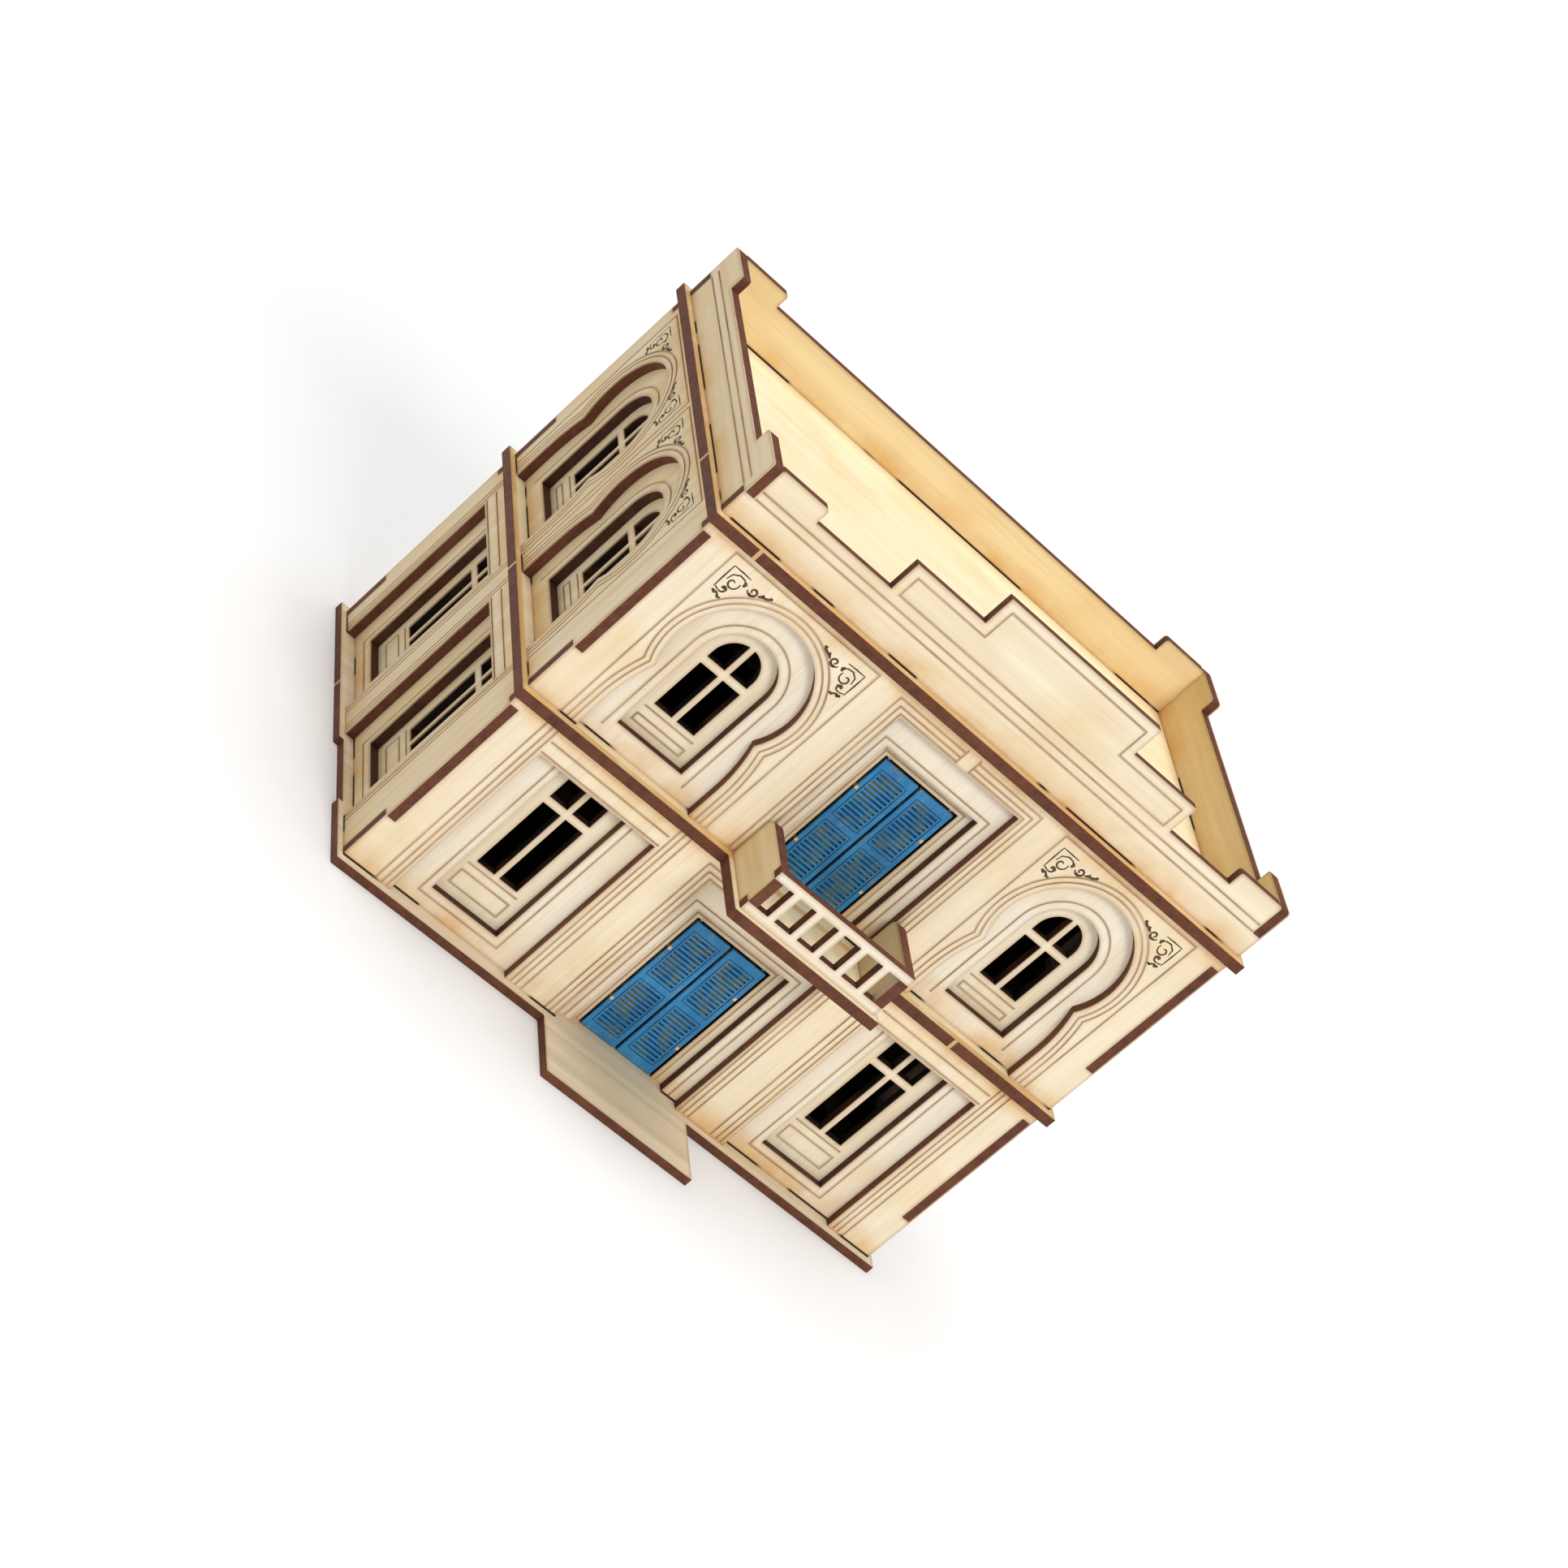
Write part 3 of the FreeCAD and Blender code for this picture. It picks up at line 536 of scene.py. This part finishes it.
for number, (name, obj) in enumerate(sorted(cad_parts.items())):
    assign(obj, wire if "pins" in name else part_material(name, number * SEED_STEP))


# ---------------------------------------------------------------- engraved ornaments
def facade_point(side, distance, u, height):
    """Point on an upright face: u along it seen from outside."""
    turn = Matrix.Rotation(math.radians(TURN[side]), 4, "Z")
    spot = turn @ Vector((u, -distance, 0))
    return Vector((spot.x, spot.y + HOUSE_Y, height))


SPIRAL_STEPS = 22
SPIRAL_TIGHTENING = 0.8


def spiral(x, y, radius, turns, start, hand):
    """Points of a tightening scroll, from the outside in."""
    points = []
    for index in range(SPIRAL_STEPS + 1):
        share = index / SPIRAL_STEPS
        angle = start + hand * turns * 2 * math.pi * share
        reach = radius * (1 - SPIRAL_TIGHTENING * share)
        points.append((x + reach * math.cos(angle), y + reach * math.sin(angle)))
    return points


# one corner ornament as (points, width) in millimetres, a width of 1 being a
# whole stroke: the origin is the outer top corner, X runs towards the arch and
# Y runs down
CORNER_SCROLL = [
    ([(0, 0), (2.8, 0), (5.6, 0.1)], 0.5),
    ([(0, 0), (0, 3.6), (0.1, 7.2)], 0.5),
    ([(1.0, 3.8), (1.4, 2.0), (3.0, 1.0), (4.6, 1.2), (5.7, 2.1)], 0.56),
    (spiral(3.0, 3.7, 1.9, 0.95, -0.5, 1), 0.62),
    ([(5.1, 1.4), (5.6, 2.0), (5.4, 2.8)], 1.19),
    (spiral(8.3, 2.1, 1.5, 1.2, 2.9, -1), 0.69),
    ([(7.6, 2.9), (8.4, 3.3), (9.2, 2.6)], 0.88),
    ([(9.9, 2.2), (10.7, 1.7), (11.0, 0.9)], 1.0),
    ([(10.8, 1.7), (12.2, 1.2), (13.3, 0.5)], 0.88),
    ([(12.4, 0.4), (13.3, 0.5)], 1.0),
    (spiral(2.2, 6.2, 1.2, 0.9, 2.2, -1), 0.69),
    ([(1.7, 6.2), (2.6, 5.9), (3.4, 6.2)], 1.0),
    ([(0.4, 6.9), (1.4, 7.3)], 0.75),
    ([(0.4, 7.9), (1.2, 8.3), (2.0, 7.9)], 1.19),
    ([(2.0, 8.0), (2.7, 8.8), (3.6, 8.7)], 0.94),
]
STROKE_HALF = 0.5 * MM
STROKE_TIP = 0.6
FLATTEN = 0.1


def stroke_object(name, side, distance, strokes, material, body):
    """Flat strokes on an upright face, each a list of (u, height) and a width.

    A stroke is a tube, thinner at its tips, pressed nearly flat.
    """
    curve = bpy.data.curves.new(name, "CURVE")
    curve.dimensions = "3D"
    curve.bevel_depth = STROKE_HALF
    curve.bevel_resolution = 1
    for points, width in strokes:
        spline = curve.splines.new("POLY")
        spline.points.add(len(points) - 1)
        for index, (u, height) in enumerate(points):
            spot = facade_point(side, distance, u * MM, height * MM)
            spline.points[index].co = (spot.x, spot.y, spot.z, 1.0)
            middle = math.sin(math.pi * index / (len(points) - 1))
            spline.points[index].radius = width * (STROKE_TIP + (1 - STROKE_TIP) * middle)
    tubes = bpy.data.objects.new(name, curve)
    bpy.context.scene.collection.objects.link(tubes)
    bpy.context.view_layer.update()
    depsgraph = bpy.context.evaluated_depsgraph_get()
    mesh = bpy.data.meshes.new_from_object(tubes.evaluated_get(depsgraph))
    bpy.data.objects.remove(tubes)
    axis = "XYZ".index(BOARD_AXIS[side])
    face = facade_point(side, distance, 0.0, 0.0)[axis]
    for vertex in mesh.vertices:
        vertex.co[axis] = face + (vertex.co[axis] - face) * FLATTEN
    mesh.materials.clear()
    mesh.materials.append(material)
    piece = bpy.data.objects.new(name, mesh)
    bpy.context.scene.collection.objects.link(piece)
    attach(piece, body)


# outer top corner of an ornament in millimetres: its distance from the middle of
# the arch and its height above the floor
SCROLL_HALF = 22.3
SCROLL_TOP = 57.0


def scroll_strokes(middle):
    """The corner ornament and its mirror image over the arch at a place."""
    top = UPPER_Z / MM + SCROLL_TOP
    return [([(middle + hand * (SCROLL_HALF - x), top - y) for x, y in points], width)
            for hand in (-1, 1) for points, width in CORNER_SCROLL]


for side, places in WINDOWS.items():
    for number, middle in enumerate(places):
        stroke_object(f"scroll_{side}_{number}", side, DISTANCE[side], scroll_strokes(middle),
                      engraving, "upper_storey")

# painted outline round each louvre panel in millimetres: X from the middle of the
# doorway, heights from the foot of the leaf
LOUVRE_X = (1.9, 10.7)
LOUVRE_Z = ((2.7, 19.9), (22.0, 39.2))
LOUVRE_LINE = 0.4


def outline_strokes(hand, base):
    """The four sides of both louvre panels on one leaf."""
    strokes = []
    inner, outer = (hand * x for x in LOUVRE_X)
    for low, high in LOUVRE_Z:
        corners = [(inner, base + low), (outer, base + low),
                   (outer, base + high), (inner, base + high)]
        for start, end in zip(corners, corners[1:] + corners[:1]):
            middle = tuple((a + b) / 2 for a, b in zip(start, end))
            strokes.append(([start, middle, end], LOUVRE_LINE))
    return strokes


for storey, foot in (("ground", GROUND_Z), ("upper", UPPER_Z)):
    for hand_name, hand in (("left", -1), ("right", 1)):
        stroke_object(f"louvre_outline_{storey}_{hand_name}", "front", WALL_Y - 2 * SHEET,
                      outline_strokes(hand, (foot + LEAF_LIFT) / MM), paint_line,
                      f"{storey}_door_{hand_name}")

# ---------------------------------------------------------------- stage
FLOOR_REACH = 12.0
FLOOR_DROP = 0.02 * MM
FLOOR_COLOR = (0.93, 0.95, 0.99, 1)
SKY_COLOR = (1.0, 0.97, 0.91, 1)
SKY_STRENGTH = 0.42
SUN_COLOR = (1.0, 0.98, 0.96)

floor_mesh = bpy.data.meshes.new("studio_floor")
floor_corners = [(x * FLOOR_REACH, y * FLOOR_REACH, 0)
                 for x, y in ((-1, -1), (1, -1), (1, 1), (-1, 1))]
floor_mesh.from_pydata(floor_corners, [], [(0, 1, 2, 3)])
floor = bpy.data.objects.new("studio_floor", floor_mesh)
bpy.context.scene.collection.objects.link(floor)
floor.location.z = -FLOOR_DROP
floor_material, floor_tree, floor_shader = new_material("studio_floor")
put(floor_tree, floor_shader.inputs["Base Color"], FLOOR_COLOR)
floor_shader.inputs["Roughness"].default_value = 0.9
floor_mesh.materials.append(floor_material)

world = bpy.data.worlds.new("studio")
bpy.context.scene.world = world
world.use_nodes = True
background = world.node_tree.nodes["Background"]
background.inputs["Color"].default_value = SKY_COLOR
background.inputs["Strength"].default_value = SKY_STRENGTH
bpy.context.scene.view_settings.view_transform = "Standard"


def sun_light(name, toward, spread, strength):
    """Wide soft light from a direction; spread is its angle in degrees."""
    data = bpy.data.lights.new(name, "SUN")
    data.angle = math.radians(spread)
    data.energy = strength
    data.color = SUN_COLOR
    obj = bpy.data.objects.new(name, data)
    bpy.context.scene.collection.objects.link(obj)
    obj.location = toward
    obj.rotation_euler = (-Vector(toward)).to_track_quat("-Z", "Y").to_euler()


sun_light("key", (0.08, -1.0, 0.75), 22.0, 1.15)
sun_light("top", (0.0, 0.1, 1.0), 40.0, 1.6)

# ---------------------------------------------------------------- camera
AZIMUTH = math.radians(-27.043)
ELEVATION = math.radians(18.760)
ROLL = math.radians(49.034)
CAMERA_PLACE = Vector((-459.9, -893.0, 412.2)) * MM
LENS = 94.46
SENSOR = 36.0

# the camera's own axes: back is out of the scene, right and up carry the roll
back = Vector((math.sin(AZIMUTH) * math.cos(ELEVATION),
               -math.cos(AZIMUTH) * math.cos(ELEVATION), math.sin(ELEVATION)))
level = Vector((math.cos(AZIMUTH), math.sin(AZIMUTH), 0.0))
above = back.cross(level)
right = math.cos(ROLL) * level + math.sin(ROLL) * above
up = -math.sin(ROLL) * level + math.cos(ROLL) * above
camera_data = bpy.data.cameras.new("photo_camera")
camera_data.lens = LENS
camera_data.sensor_width = SENSOR
camera = bpy.data.objects.new("photo_camera", camera_data)
bpy.context.scene.collection.objects.link(camera)
camera.matrix_world = Matrix((
    (right.x, up.x, back.x, CAMERA_PLACE.x),
    (right.y, up.y, back.y, CAMERA_PLACE.y),
    (right.z, up.z, back.z, CAMERA_PLACE.z),
    (0.0, 0.0, 0.0, 1.0),
))
bpy.context.scene.camera = camera
